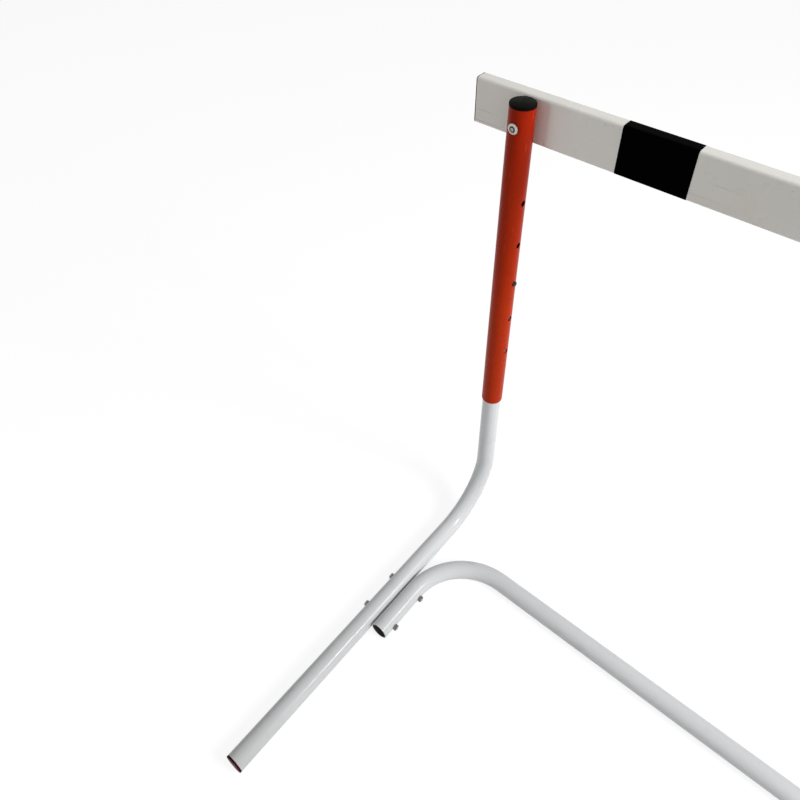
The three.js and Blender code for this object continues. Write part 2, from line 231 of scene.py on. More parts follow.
# Mostly painted shade, with rub streaks, on the upright inside the sleeve, where its holes look in
RUB_AND_SHADE_FROM_Z = 434 * MM
RUB_AND_SHADE_FULL_Z = 446 * MM
# Painted shade: the red sleeve darkens over this span towards its top
SLEEVE_SHADE_FROM_Z = 560 * MM
SLEEVE_SHADE_FULL_Z = 900 * MM

# Where most values of a noise lie
NOISE_LOW = 0.3
NOISE_HIGH = 0.7

# Floor and surroundings
FLOOR_HALF = 20
FLOOR_SHARE = 0.6
FLOOR_GLOW = 1.42
FLOOR_ALBEDO = (0.6, 0.6, 0.6, 1)
WORLD_COLOUR = (1, 1, 1, 1)
WORLD_LIGHT = 0.345
WORLD_SEEN = 1

# Lamps: the direction from their target, distance and size in metres, power in watts
LAMP_TARGET = (-0.3, 0.15, 0.45)
KEY_DIRECTION = (0.84, 0.15, 0.5)
KEY_DISTANCE = 3
KEY_SIZE = (1.2, 1.2)
KEY_POWER = 90
FILL_DIRECTION = (-0.6, -0.78, 0.15)
FILL_DISTANCE = 3
FILL_SIZE = (1, 1)
FILL_POWER = 7
GLINT_DIRECTION = (0.8, 0.27, 0.54)
GLINT_DISTANCE = 5
GLINT_SIZE = (1.1, 0.5)
GLINT_POWER = 100

# Camera: its place in metres, its turns in degrees, lens and sensor in mm, shift in picture widths
CAMERA_PLACE = (-0.0305, -0.48, 1.3523)
CAMERA_TILT = 48.066
CAMERA_TURN = 39.898
CAMERA_LENS = 32.83
CAMERA_SENSOR = 36
CAMERA_SHIFT = (-0.01738, -0.10575)


# Mesh helpers
def bridge(builder, first, second, material=0):
    """Quads between two closed rings with the same number of points."""
    for k, start in enumerate(first):
        after = (k + 1) % len(first)
        face = builder.faces.new((start, first[after], second[after], second[k]))
        face.material_index = material


def bridge_all(builder, rings, material=0):
    for first, second in zip(rings, rings[1:]):
        bridge(builder, first, second, material)


def ring_of(builder, points):
    """A loose point of the mesh for each of these places."""
    return [builder.verts.new(point) for point in points]


def distinct(places):
    """Places along a path in order, each one once."""
    return sorted(set(round(place, PLACE_DIGITS) for place in places))


def finish_mesh(name, builder, bevel=False):
    """Turns a mesh builder into an object with smooth faces, and crisp edges where they turn sharply."""
    loose = [vert for vert in builder.verts if not vert.link_faces]
    bmesh.ops.delete(builder, geom=loose, context="VERTS")
    bmesh.ops.recalc_face_normals(builder, faces=builder.faces)
    mesh = bpy.data.meshes.new(name)
    builder.to_mesh(mesh)
    builder.free()
    mesh.shade_smooth()
    mesh.set_sharp_from_angle(angle=SHARP_ANGLE)
    piece = bpy.data.objects.new(name, mesh)
    bpy.context.scene.collection.objects.link(piece)
    if bevel:
        edges = piece.modifiers.new("edges", "BEVEL")
        edges.width = BEVEL_WIDTH
        edges.segments = BEVEL_SEGMENTS
        edges.limit_method = "ANGLE"
        edges.angle_limit = BEVEL_ANGLE
    weights = piece.modifiers.new("weights", "WEIGHTED_NORMAL")
    weights.keep_sharp = True
    return piece


@dataclass
class Run:
    """A stretch of a path. Where it bends, it has the bend's axis and radius."""

    begin: float
    length: float
    start: Vector
    into: Vector
    axis: Vector = None
    radius: float = 0


class BentPath:
    """Straight runs joined by round bends in one plane. across is square to that plane."""

    def __init__(self, corners, across, bend_radius=BEND_RADIUS):
        self.across = Vector(across)
        self.runs = []
        self.length = 0
        corners = [Vector(corner) for corner in corners]
        start = corners[0]
        for before, corner, after in zip(corners, corners[1:], corners[2:]):
            into = (corner - before).normalized()
            out = (after - corner).normalized()
            turn = into.angle(out)
            setback = bend_radius * math.tan(turn / 2)
            self.add_straight(start, corner - into * setback)
            self.add_bend(corner - into * setback, into, into.cross(out).normalized(), turn, bend_radius)
            start = corner + out * setback
        self.add_straight(start, corners[-1])

    def add_straight(self, start, end):
        along = end - start
        self.runs.append(Run(self.length, along.length, start, along.normalized()))
        self.length += along.length

    def add_bend(self, start, into, axis, turn, radius):
        self.runs.append(Run(self.length, turn * radius, start, into, axis, radius))
        self.length += turn * radius

    def at(self, distance):
        """The centre point and the direction of travel at a distance along the path."""
        run = [run for run in self.runs if run.begin <= distance][-1]
        gone = distance - run.begin
        if run.axis is None:
            return run.start + run.into * gone, run.into
        to_centre = run.axis.cross(run.into) * run.radius
        rotation = Matrix.Rotation(gone / run.radius, 3, run.axis)
        return run.start + to_centre - rotation @ to_centre, rotation @ run.into

    def point(self, distance, angle, radius):
        """A point on the surface round the path. The angle turns from across."""
        centre, along = self.at(distance)
        side = self.across.cross(along)
        return centre + radius * (math.cos(angle) * self.across + math.sin(angle) * side)

    def bend_rows(self):
        """Places along the path where its bends need a row of points."""
        bends = [run for run in self.runs if run.axis is not None]
        return [run.begin + run.length * i / BEND_STEPS for run in bends for i in range(BEND_STEPS + 1)]


def lip_profile(outer, inner):
    """The rounded end of a tube wall, from its outer skin to its inner one.

    Each point is (distance from the end, radius).
    """
    angles = [QUARTER_TURN * i / LIP_STEPS for i in range(LIP_STEPS + 1)]
    over = [(LIP * (1 - math.sin(a)), outer - LIP * (1 - math.cos(a))) for a in angles]
    under = [(LIP * (1 - math.sin(a)), inner + LIP * (1 - math.cos(a))) for a in reversed(angles)]
    return over + under


def nearest_row(rows, place):
    return rows.index(min(rows, key=lambda row: abs(row - place)))


def patch_rows(hole):
    """Where the rows of the square patch round a hole lie."""
    distance, _, radius = hole
    half = radius + PATCH_MARGIN
    return [distance + half * i / PATCH_REACH for i in range(-PATCH_REACH, PATCH_REACH + 1)]


def patch_outline():
    """The steps (along, round) from a patch's middle to each point of its edge, once round."""
    reach = PATCH_REACH
    steps = range(-reach, reach)
    return (
        [(-reach, k) for k in steps]
        + [(k, reach) for k in steps]
        + [(reach, -k) for k in steps]
        + [(-k, -reach) for k in steps]
    )


def patch_faces(rows, holes):
    """The faces (row, column) that the patches round the holes take the place of."""
    taken = set()
    for hole in holes:
        first = nearest_row(rows, patch_rows(hole)[0])
        _, angle, _ = hole
        middle = round(angle / FULL_TURN * COLUMNS)
        for row in range(first, first + 2 * PATCH_REACH):
            taken |= {(row, (middle + k) % COLUMNS) for k in range(-PATCH_REACH, PATCH_REACH)}
    return taken


def drill(builder, path, skins, rows, hole, outer, inner):
    """Fills the patch round a hole in both skins, with rounded lips and the hole's wall."""
    distance, angle, radius = hole
    middle_row = nearest_row(rows, distance)
    middle_column = round(angle / FULL_TURN * COLUMNS)
    outline = patch_outline()

    def circle(size, skin_radius):
        points = []
        for along, around in outline:
            length = math.hypot(along, around)
            place = distance + size * along / length
            offset = size * around / length
            points.append(path.point(place, angle + math.asin(offset / skin_radius), skin_radius))
        return ring_of(builder, points)

    def edge(skin):
        return [skin[middle_row + along][(middle_column + around) % COLUMNS] for along, around in outline]

    outside = [edge(skins[0]), circle(radius + LIP_SUPPORT, outer), circle(radius + LIP, outer)]
    outside.append(circle(radius, outer - LIP))
    inside = [circle(radius, inner + LIP), circle(radius + LIP, inner)]
    inside += [circle(radius + LIP_SUPPORT, inner), edge(skins[1])]
    bridge_all(builder, [*outside, inside[0]])
    bridge_all(builder, inside, material=1)


def fill_skin(builder, skin, taken, material):
    """The faces of a tube's skin, apart from those that are taken."""
    for i, (row, following) in enumerate(zip(skin, skin[1:])):
        for k in range(COLUMNS):
            if (i, k) not in taken:
                after = (k + 1) % COLUMNS
                face = builder.faces.new((row[k], row[after], following[after], following[k]))
                face.material_index = material


def tube(name, path, outer, inner, holes):
    """A steel tube along a path, with material 0 outside and 1 in its bore.

    Each hole is (distance along, angle round, radius).
    """
    builder = bmesh.new()
    near = [LIP, LIP + LIP_SUPPORT]
    rows = near + [path.length - place for place in near] + path.bend_rows()
    for hole in holes:
        rows += patch_rows(hole)
    rows = distinct(rows)
    angles = [FULL_TURN * k / COLUMNS for k in range(COLUMNS)]

    def ring_at(place, radius):
        return ring_of(builder, [path.point(place, angle, radius) for angle in angles])

    skins = [[ring_at(row, radius) for row in rows] for radius in (outer, inner)]
    taken = patch_faces(rows, holes)
    for material, skin in enumerate(skins):
        fill_skin(builder, skin, taken, material)
    profile = lip_profile(outer, inner)[1:-1]
    for end, row, side in ((0, 0, 1), (path.length, -1, -1)):
        lip = [ring_at(end + side * back, radius) for back, radius in profile]
        bridge_all(builder, [skins[0][row], *lip, skins[1][row]])
    for hole in holes:
        drill(builder, path, skins, rows, hole, outer, inner)
    return finish_mesh(name, builder)


def turned(name, profile, origin, along, ring=False, columns=COLUMNS, bevel=True, second=()):
    """A piece turned round an axis. A ring has a bore, so its outline closes on itself.

    profile(angle) gives the outline's (radius, height) points. Angle 0 faces +Z, or +X on an upright axis.
    The bands of faces whose numbers are in second get material 1.
    """
    along = Vector(along)
    across = Vector((1, 0, 0)) if abs(along.z) > abs(along.x) + abs(along.y) else Vector((0, 0, 1))
    side = along.cross(across)
    builder = bmesh.new()
    lines = []
    for k in range(columns):
        angle = FULL_TURN * k / columns
        spoke = across * math.cos(angle) + side * math.sin(angle)
        lines.append([Vector(origin) + spoke * r + along * h for r, h in profile(angle)])
    rings = [ring_of(builder, points) for points in zip(*lines)]
    for band, (inner, outer) in enumerate(zip(rings, rings[1:])):
        bridge(builder, inner, outer, material=1 if band in second else 0)
    if ring:
        bridge(builder, rings[-1], rings[0])
    bmesh.ops.remove_doubles(builder, verts=builder.verts, dist=MERGE_DISTANCE)
    return finish_mesh(name, builder, bevel)


def quarter_round(radius, height, size, steps=ROUND_STEPS):
    """From the side of a turned piece, over its edge, to its top."""
    points = []
    for i in range(steps + 1):
        angle = QUARTER_TURN * i / steps
        points.append((radius - size + size * math.cos(angle), height - size + size * math.sin(angle)))
    return points


def domed_height(r, radius, height, rise):
    """The height of a dome at a distance from its axis. Its edge has the given radius and height."""
    sphere = (radius * radius + rise * rise) / (2 * rise)
    return height + rise - sphere + math.sqrt(sphere * sphere - r * r)


def dome(radius, height, rise):
    """From just inside the edge of a dome to its top, on the axis."""
    steps = [radius * (1 - i / DOME_STEPS) for i in range(1, DOME_STEPS + 1)]
    return [(r, domed_height(r, radius, height, rise)) for r in steps]


# Turned forms
def cap_profile(_):
    return [
        (0, -CAP_DEPTH),
        (CAP_STEM - STEM_TAPER, -CAP_DEPTH),
        (CAP_STEM, 0),
        (CAP_RADIUS, 0),
        *quarter_round(CAP_RADIUS, CAP_RIM, CAP_ROUND),
        *dome(CAP_RADIUS - CAP_ROUND, CAP_RIM, CAP_DOME),
    ]


def foot_plug_profile(_):
    return [
        (0, -PLUG_DEPTH),
        (PLUG_STEM - STEM_TAPER, -PLUG_DEPTH),
        (PLUG_STEM, 0),
        (TUBE_RADIUS, 0),
        *quarter_round(TUBE_RADIUS, PLUG_FLANGE, PLUG_ROUND),
        (0, PLUG_FLANGE),
    ]


def button_profile(_):
    return [
        (0, BUTTON_FLANGE_BACK),
        (BUTTON_FLANGE_RADIUS, BUTTON_FLANGE_BACK),
        (BUTTON_FLANGE_RADIUS, BUTTON_FLANGE_FACE),
        (BUTTON_RADIUS, BUTTON_FLANGE_FACE),
        *quarter_round(BUTTON_RADIUS, BUTTON_TIP, BUTTON_ROUND),
        (0, BUTTON_TIP),
    ]


def washer_profile(_):
    return [
        (WASHER_BORE, 0),
        (WASHER_RADIUS - WASHER_EDGE, 0),
        (WASHER_RADIUS, WASHER_EDGE),
        (WASHER_RADIUS, WASHER_THICKNESS - WASHER_EDGE),
        (WASHER_RADIUS - WASHER_EDGE, WASHER_THICKNESS),
        (WASHER_BORE, WASHER_THICKNESS),
    ]


def hex_reach(angle, flat):
    """How far a hexagon's side lies from its middle, at an angle from a corner."""
    return flat / math.cos(angle % HEX_CORNER_EVERY - HEX_CORNER_EVERY / 2)


def hex_side(angle, height):
    """A hexagon's side and its chamfered top, at an angle: from its foot to the flat top's edge."""
    reach = hex_reach(angle, HEX_FLAT)
    return [(reach, 0), (reach, height - (reach - HEX_FLAT) * HEX_CHAMFER_SLOPE), (HEX_FLAT, height)]


def socket_dome(angle, radius, height, rise, depth):
    """A domed head with a hexagon socket, at an angle: from its axis out to the dome's edge."""
    floor = height + rise - depth
    reach = hex_reach(angle, SOCKET_FLAT)
    lip = reach + SOCKET_LIP
    points = [(0, floor - SOCKET_CONE), (SOCKET_FLAT, floor), (reach, floor)]
    points.append((reach, domed_height(lip, radius, height, rise) - SOCKET_LIP))
    for i in range(DOME_STEPS + 1):
        r = lip + (radius - lip) * i / DOME_STEPS
        points.append((r, domed_height(r, radius, height, rise)))
    return points


def thread(angle, radius, pitch, start, tip):
    """A bolt's threaded tail at an angle, down to its tip. Heights are measured from under the head."""
    count = round((start - tip) / pitch * THREAD_STEPS)
    points = []
    for i in range(count + 1):
        height = start + (tip - start) * i / count
        wave = abs(2 * ((height / pitch + angle / FULL_TURN) % 1) - 1)
        cut = pitch * THREAD_DEPTH_SHARE * wave
        chamfered = radius - TAIL_CHAMFER + (height - tip)
        points.append((min(radius - cut, chamfered), height))
    return points


def shank(angle, radius, pitch, length, threaded):
    """A bolt at an angle, from under its head to the middle of its tip."""
    start = threaded - length
    return [(radius, 0), (radius, start), *thread(angle, radius, pitch, start, -length), (0, -length)]


def hex_bolt_profile(angle, length):
    head = [(0, HEX_HEAD), *reversed(hex_side(angle, HEX_HEAD))]
    return [*head, *shank(angle, BOLT_RADIUS, BOLT_PITCH, length, BOLT_THREAD)]


def hex_nut_profile(angle):
    return [(NUT_BORE, 0), *hex_side(angle, HEX_NUT), (NUT_BORE, HEX_NUT)]


def button_bolt_profile(angle, length):
    flange = quarter_round(HEAD_FLANGE_RADIUS, HEAD_FLANGE, HEAD_FLANGE_ROUND)
    return [
        *socket_dome(angle, HEAD_RADIUS, HEAD_FLANGE, HEAD_RISE, SOCKET_DEPTH),
        *reversed(flange),
        (HEAD_FLANGE_RADIUS, 0),
        *shank(angle, BOARD_BOLT_RADIUS, BOARD_BOLT_PITCH, length, BOARD_BOLT_THREAD),
    ]


def barrel_nut_profile(angle):
    return [
        *socket_dome(angle, BARREL_HEAD_RADIUS, BARREL_HEAD_EDGE, BARREL_HEAD_RISE, BARREL_SOCKET_DEPTH),
        (BARREL_HEAD_RADIUS, 0),
        (BARREL_RADIUS, 0),
        (BARREL_RADIUS, -BARREL_LENGTH),
        (BARREL_BORE, -BARREL_LENGTH),
        (BARREL_BORE, -BARREL_FLOOR),
        (0, -BARREL_FLOOR),
    ]


# Board forms
def rounded_loop(half_depth, half_height, radius, lift=0):
    """Points (depth, height) once round a rounded rectangle. lift raises its middle."""
    points = []
    for corner, (depth_side, height_side) in enumerate(((1, 1), (-1, 1), (-1, -1), (1, -1))):
        for i in range(CORNER_STEPS + 1):
            angle = QUARTER_TURN * (corner + i / CORNER_STEPS)
            depth = depth_side * (half_depth - radius) + radius * math.cos(angle)
            height = height_side * (half_height - radius) + radius * math.sin(angle)
            points.append((depth, height + lift))
    return points


def board_ring(builder, loop, x):
    points = [(x, BOARD_MIDDLE_Y + depth, BOARD_MIDDLE_Z + height) for depth, height in loop]
    return ring_of(builder, points)


def ring_edges(builder, ring):
    """The edges round a ring, made where there are none yet."""
    edges = []
    for k, start in enumerate(ring):
        end = ring[(k + 1) % len(ring)]
        edges.append(builder.edges.get((start, end)) or builder.edges.new((start, end)))
    return edges


def bolt_ring(builder, x, y, radius):
    """The edge of a bolt hole in a flat face of the board."""
    points = []
    for k in range(SMALL_COLUMNS):
        angle = FULL_TURN * k / SMALL_COLUMNS
        points.append((x + radius * math.cos(angle), y, BOARD_MIDDLE_Z + radius * math.sin(angle)))
    return ring_of(builder, points)


def chamber_lift(index):
    """How far a chamber's middle lies above the board's."""
    return (index - (CHAMBER_COUNT - 1) / 2) * CHAMBER_PITCH


def board_profile():
    """The hollow board: its skin, its chambers, open at both ends, and the two bolts' holes.

    The holes go through the flat front and back of the skin and of the middle chamber.
    """
    builder = bmesh.new()
    half = BOARD_HALF_LENGTH - END_FLANGE - SEAT_GAP
    chamber_depth = BOARD_HALF_DEPTH - BOARD_WALL
    loops = [rounded_loop(BOARD_HALF_DEPTH, BOARD_HALF_HEIGHT, BOARD_ROUND)]
    for i in range(CHAMBER_COUNT):
        loops.append(rounded_loop(chamber_depth, CHAMBER_HALF_HEIGHT, CHAMBER_ROUND, chamber_lift(i)))
    ends = [[board_ring(builder, loop, x) for loop in loops] for x in (-half, half)]
    # The flat side after a loop's second corner is its front, the one after its fourth its back
    corner_points = CORNER_STEPS + 1
    flats = {2 * corner_points - 1: -1, 4 * corner_points - 1: 1}
    # The skin and the middle chamber are drilled, at these depths from the board's middle
    drilled = {0: BOARD_HALF_DEPTH, 1 + CHAMBER_COUNT // 2: chamber_depth}
    holes = {}
    for index, (left, right) in enumerate(zip(*ends)):
        for k, start in enumerate(left):
            after = (k + 1) % len(left)
            corners = (start, left[after], right[after], right[k])
            if index in drilled and k in flats:
                y = BOARD_MIDDLE_Y + flats[k] * drilled[index]
                edges = ring_edges(builder, corners)
                radius = BOARD_BOLT_HOLE if flats[k] < 0 else BARREL_HOLE
                for x in (-UPRIGHT_X, UPRIGHT_X):
                    ring = bolt_ring(builder, x, y, radius)
                    holes.setdefault((flats[k], x), []).append(ring)
                    edges += ring_edges(builder, ring)
                bmesh.ops.triangle_fill(builder, use_beauty=True, edges=edges)
            else:
                builder.faces.new(corners)
    for outer, inner in holes.values():
        bridge(builder, outer, inner)
    for rings in ends:
        edges = [edge for ring in rings for edge in ring_edges(builder, ring)]
        bmesh.ops.triangle_fill(builder, use_beauty=True, edges=edges)
    return finish_mesh("board_profile", builder)


def stripe_film(name, outward):
    """A band of film wrapped round the board. outward is its side, -1 or 1."""
    builder = bmesh.new()
    rings = []
    for x in (FILM_NEAR, FILM_FAR):
        for gap in (FILM_GAP, FILM_GAP + FILM_THICKNESS):
            loop = rounded_loop(BOARD_HALF_DEPTH + gap, BOARD_HALF_HEIGHT + gap, BOARD_ROUND + gap)
            rings.append(board_ring(builder, loop, outward * x))
    near_inner, near_outer, far_inner, far_outer = rings
    bridge_all(builder, [near_inner, near_outer, far_outer, far_inner, near_inner])
    return finish_mesh(name, builder)


def closed_run(builder, rings):
    """A solid run of rings, closed at both ends."""
    bridge_all(builder, rings)
    builder.faces.new(rings[0])
    builder.faces.new(rings[-1])


def board_plug(name, outward):
    """The plug in an end of the board: a flange over the end and a stem in each chamber."""
    builder = bmesh.new()
    rings = []
    back = BOARD_HALF_LENGTH - END_FLANGE
    rounding = [(back, 0)]
    for i in range(ROUND_STEPS + 1):
        angle = QUARTER_TURN * i / ROUND_STEPS
        inset = END_ROUND * (1 - math.cos(angle))
        rounding.append((BOARD_HALF_LENGTH - END_ROUND * (1 - math.sin(angle)), inset))
    for x, inset in rounding:
        loop = rounded_loop(BOARD_HALF_DEPTH - inset, BOARD_HALF_HEIGHT - inset, BOARD_ROUND - inset)
        rings.append(board_ring(builder, loop, outward * x))
    closed_run(builder, rings)
    stem = (back - END_STEM_DEPTH, back + END_FLANGE / 2)
    stem_depth = BOARD_HALF_DEPTH - BOARD_WALL - END_STEM_CLEARANCE
    stem_height = CHAMBER_HALF_HEIGHT - END_STEM_CLEARANCE
    for i in range(CHAMBER_COUNT):
        loop = rounded_loop(stem_depth, stem_height, CHAMBER_ROUND - END_STEM_CLEARANCE, chamber_lift(i))
        closed_run(builder, [board_ring(builder, loop, outward * x) for x in stem])
    return finish_mesh(name, builder)


# Materials
def srgb(red, green, blue):
    """Turns screen values from 0 to 255 into the shader's own colour, by the sRGB formula."""
    shares = [value / 255 for value in (red, green, blue)]
    return (*[s / 12.92 if s <= 0.04045 else ((s + 0.055) / 1.055) ** 2.4 for s in shares], 1)


class Finish:
    """A procedural material. It is drawn in the piece's own coordinates, which are metres at rest.

    The settings are inputs of the shader, written like metallic=0.3.
    """

    def __init__(self, name, **settings):
        self.material = bpy.data.materials.new(name)
        self.material.use_nodes = True
        self.tree = self.material.node_tree
        self.shader = self.tree.nodes["Principled BSDF"]
        for key, value in settings.items():
            socket = key.replace("_", " ").title().replace("Ior", "IOR")
            self.shader.inputs[socket].default_value = value
        self.place = self.tree.nodes.new("ShaderNodeTexCoord").outputs["Object"]
        self.normal = None

    def node(self, kind, **settings):
        made = self.tree.nodes.new(kind)
        for key, value in settings.items():
            setattr(made, key, value)
        return made

    def feed(self, socket, value):
        if isinstance(value, bpy.types.NodeSocket):
            self.tree.links.new(value, socket)
        else:
            socket.default_value = value

    def noise(self, per_metre, detail=4, stretch=(1, 1, 1), shift=0):
        """A cloudy value. A stretch below 1 draws it out along that axis."""
        mapping = self.node("ShaderNodeMapping")
        mapping.inputs["Scale"].default_value = stretch
        mapping.inputs["Location"].default_value = (shift, shift, shift)
        self.feed(mapping.inputs["Vector"], self.place)
        texture = self.node("ShaderNodeTexNoise")
        texture.inputs["Scale"].default_value = per_metre
        texture.inputs["Detail"].default_value = detail
        self.feed(texture.inputs["Vector"], mapping.outputs["Vector"])
        return texture.outputs["Fac"]

    def crystals(self, per_metre):
        """A value of its own for each small cell."""
        texture = self.node("ShaderNodeTexVoronoi")
        texture.inputs["Scale"].default_value = per_metre
        self.feed(texture.inputs["Vector"], self.place)
        split = self.node("ShaderNodeSeparateColor")
        self.feed(split.inputs["Color"], texture.outputs["Color"])
        return split.outputs["Red"]

    def axis(self, name):
        """How far a point lies along X, Y or Z, from the origin on the ground."""
        split = self.node("ShaderNodeSeparateXYZ")
        self.feed(split.inputs["Vector"], self.place)
        return split.outputs[name]

    def ramp(self, value, low, high, start=0, end=1):
        """Goes from start to end as the value goes from low to high."""
        node = self.node("ShaderNodeMapRange")
        self.feed(node.inputs["Value"], value)
        for name, number in (("From Min", low), ("From Max", high), ("To Min", start), ("To Max", end)):
            node.inputs[name].default_value = number
        return node.outputs["Result"]

    def times(self, first, second):
        node = self.node("ShaderNodeMath", operation="MULTIPLY")
        self.feed(node.inputs[0], first)
        self.feed(node.inputs[1], second)
        return node.outputs["Value"]

    def cover(self, base, colour, share):
        """Lays a share of a colour over the base."""
        node = self.node("ShaderNodeMix", data_type="RGBA")
        sockets = [socket for socket in node.inputs if socket.type == "RGBA"]
        self.feed(node.inputs[0], share)
        self.feed(sockets[0], base)
        self.feed(sockets[1], colour)
        return next(socket for socket in node.outputs if socket.type == "RGBA")

    def marks(self, base, colour, value, low, high, most=1):
        """Lays a colour over the base, more of it as the value goes from low to high."""
        return self.cover(base, colour, self.ramp(value, low, high, end=most))

    def colour(self, value):
        self.feed(self.shader.inputs["Base Color"], value)

    def roughness(self, per_metre, low, high, detail=6):
        """Lets the roughness wander between two values."""
        wander = self.ramp(self.noise(per_metre, detail), NOISE_LOW, NOISE_HIGH, low, high)
        self.feed(self.shader.inputs["Roughness"], wander)

    def bump(self, height, depth):
        """Adds a relief of this depth to those laid before."""
        node = self.node("ShaderNodeBump")
        node.inputs["Distance"].default_value = depth
        self.feed(node.inputs["Height"], height)
        if self.normal is not None:
            self.feed(node.inputs["Normal"], self.normal)
        self.normal = node.outputs["Normal"]
        self.feed(self.shader.inputs["Normal"], self.normal)


def white_paint():
    look = Finish("white_paint", specular_ior_level=0.25)
    clouds = look.noise(per_metre=5)
    base = look.marks(srgb(224, 226, 227), srgb(218, 220, 221), clouds, low=0.35, high=0.65)
    # Painted shade: darker towards the front ends of the feet
    along_foot = look.axis("Y")
    base = look.marks(base, srgb(184, 186, 186), along_foot, FOOT_SHADE_FROM_Y, FOOT_SHADE_TO_Y, most=0.8)
    smudges = look.noise(per_metre=24, detail=8)
    base = look.marks(base, srgb(178, 178, 174), smudges, low=0.6, high=0.8, most=0.3)
    chips = look.noise(per_metre=330, detail=3, shift=4)
    chip_edge = {"low": 0.74, "high": 0.77}
    base = look.marks(base, srgb(112, 110, 106), chips, **chip_edge, most=0.7)
    height = look.axis("Z")
    dirt = look.ramp(look.noise(per_metre=90, detail=6), low=0.4, high=0.62)
    dirt = look.times(look.ramp(height, DIRT_TOP_Z, DIRT_FULL_Z), dirt)
    base = look.cover(base, srgb(150, 146, 138), dirt)
    # Mostly painted shade, with rub streaks, on the upright inside the sleeve above this height
    streaks = look.noise(per_metre=260, detail=6, stretch=(1, 1, 0.04))
    streaks = look.ramp(streaks, low=0.35, high=0.65, start=0.86)
    rub_and_shade = look.times(look.ramp(height, RUB_AND_SHADE_FROM_Z, RUB_AND_SHADE_FULL_Z), streaks)
    look.colour(look.cover(base, srgb(44, 39, 35), rub_and_shade))
    look.roughness(per_metre=38, low=0.13, high=0.19)
    look.bump(look.noise(per_metre=620, detail=2), depth=0.01 * MM)
    look.bump(look.ramp(chips, **chip_edge, start=1, end=0), depth=0.05 * MM)
    return look.material


def bare_steel():
    look = Finish("bare_steel", metallic=0.3)
    clouds = look.noise(per_metre=60, detail=6)
    base = look.marks(srgb(96, 96, 93), srgb(66, 64, 60), clouds, low=0.35, high=0.65)
    rust = look.noise(per_metre=150, detail=8, shift=2)
    look.colour(look.marks(base, srgb(88, 60, 42), rust, low=0.6, high=0.72, most=0.6))
    look.roughness(per_metre=200, low=0.5, high=0.8, detail=4)
    look.bump(look.noise(per_metre=500), depth=0.03 * MM)
    return look.material


def red_paint():
    look = Finish("red_paint", specular_ior_level=0.06)
    clouds = look.noise(per_metre=4)
    sleeve_red = look.marks(srgb(182, 49, 6), srgb(172, 43, 4), clouds, low=0.3, high=0.7)
    # Painted shade: darker towards the sleeve's top
    base = look.marks(sleeve_red, srgb(158, 32, 2), look.axis("Z"), SLEEVE_SHADE_FROM_Z, SLEEVE_SHADE_FULL_Z)
    smudges = look.noise(per_metre=26, detail=8)
    base = look.marks(base, srgb(146, 39, 9), smudges, low=0.56, high=0.8, most=0.3)
    scuffs = look.noise(per_metre=240, detail=5, stretch=(1, 1, 0.12))
    base = look.marks(base, srgb(204, 86, 58), scuffs, low=0.66, high=0.74, most=0.35)
    chips = look.noise(per_metre=300, detail=3, shift=7)
    look.colour(look.marks(base, srgb(92, 40, 30), chips, low=0.75, high=0.78, most=0.8))
    look.roughness(per_metre=34, low=0.24, high=0.34)
    look.bump(look.noise(per_metre=560, detail=2), depth=0.012 * MM)
    look.bump(scuffs, depth=0.01 * MM)
    return look.material


def board_plastic():
    look = Finish("board_plastic", coat_weight=0.9, coat_roughness=0.2)
    clouds = look.noise(per_metre=3, detail=6)
    base = look.marks(srgb(239, 236, 229), srgb(233, 229, 221), clouds, low=0.35, high=0.65)
    stains = look.noise(per_metre=9, detail=8, shift=3)
    base = look.marks(base, srgb(218, 207, 186), stains, low=0.56, high=0.76, most=0.45)
    scuffs = look.noise(per_metre=170, detail=6, stretch=(0.08, 1, 1))
    base = look.marks(base, srgb(176, 172, 164), scuffs, low=0.64, high=0.74, most=0.35)
    specks = look.noise(per_metre=260, detail=3, shift=9)
    look.colour(look.marks(base, srgb(120, 116, 108), specks, low=0.75, high=0.78, most=0.7))
    look.roughness(per_metre=30, low=0.24, high=0.38)
    look.bump(look.noise(per_metre=700, detail=3, stretch=(0.02, 1, 1)), depth=0.01 * MM)
    look.bump(look.noise(per_metre=14, detail=2), depth=0.15 * MM)
    return look.material


def black_film():
    look = Finish("black_film", specular_ior_level=0.004)
    dust = look.noise(per_metre=60, detail=8)
    base = look.marks(srgb(1, 1, 1), srgb(5, 5, 5), dust, low=0.5, high=0.8, most=0.5)
    scuffs = look.noise(per_metre=200, detail=5, stretch=(0.1, 1, 1), shift=5)
    look.colour(look.marks(base, srgb(26, 26, 26), scuffs, low=0.7, high=0.78, most=0.5))
    look.roughness(per_metre=40, low=0.3, high=0.46)
    look.bump(look.noise(per_metre=110, detail=3), depth=0.02 * MM)
    return look.material


def moulded(name, light, dark, scuffed, grain, gloss):
    """A moulded plastic with a grained skin."""
    look = Finish(name, specular_ior_level=gloss)
    base = look.marks(light, dark, look.noise(per_metre=50, detail=6), low=0.3, high=0.7)
    scuffs = look.noise(per_metre=260, detail=6, shift=1)
    look.colour(look.marks(base, scuffed, scuffs, low=0.6, high=0.74, most=0.5))
    look.roughness(per_metre=120, low=0.36, high=0.54, detail=5)
    look.bump(look.noise(per_metre=1500, detail=2), depth=grain)
    return look.material


def plated(name, light, dark, stained):
    """A steel with a metal coat, whose crystals and stains show."""
    look = Finish(name, metallic=0.7)
    base = look.marks(light, dark, look.crystals(per_metre=900), low=0, high=1)
    stains = look.noise(per_metre=300, detail=8)
    look.colour(look.marks(base, stained, stains, low=0.5, high=0.7, most=0.7))
    look.roughness(per_metre=420, low=0.26, high=0.5, detail=5)
    look.bump(look.noise(per_metre=1300, detail=3), depth=0.01 * MM)
    return look.material


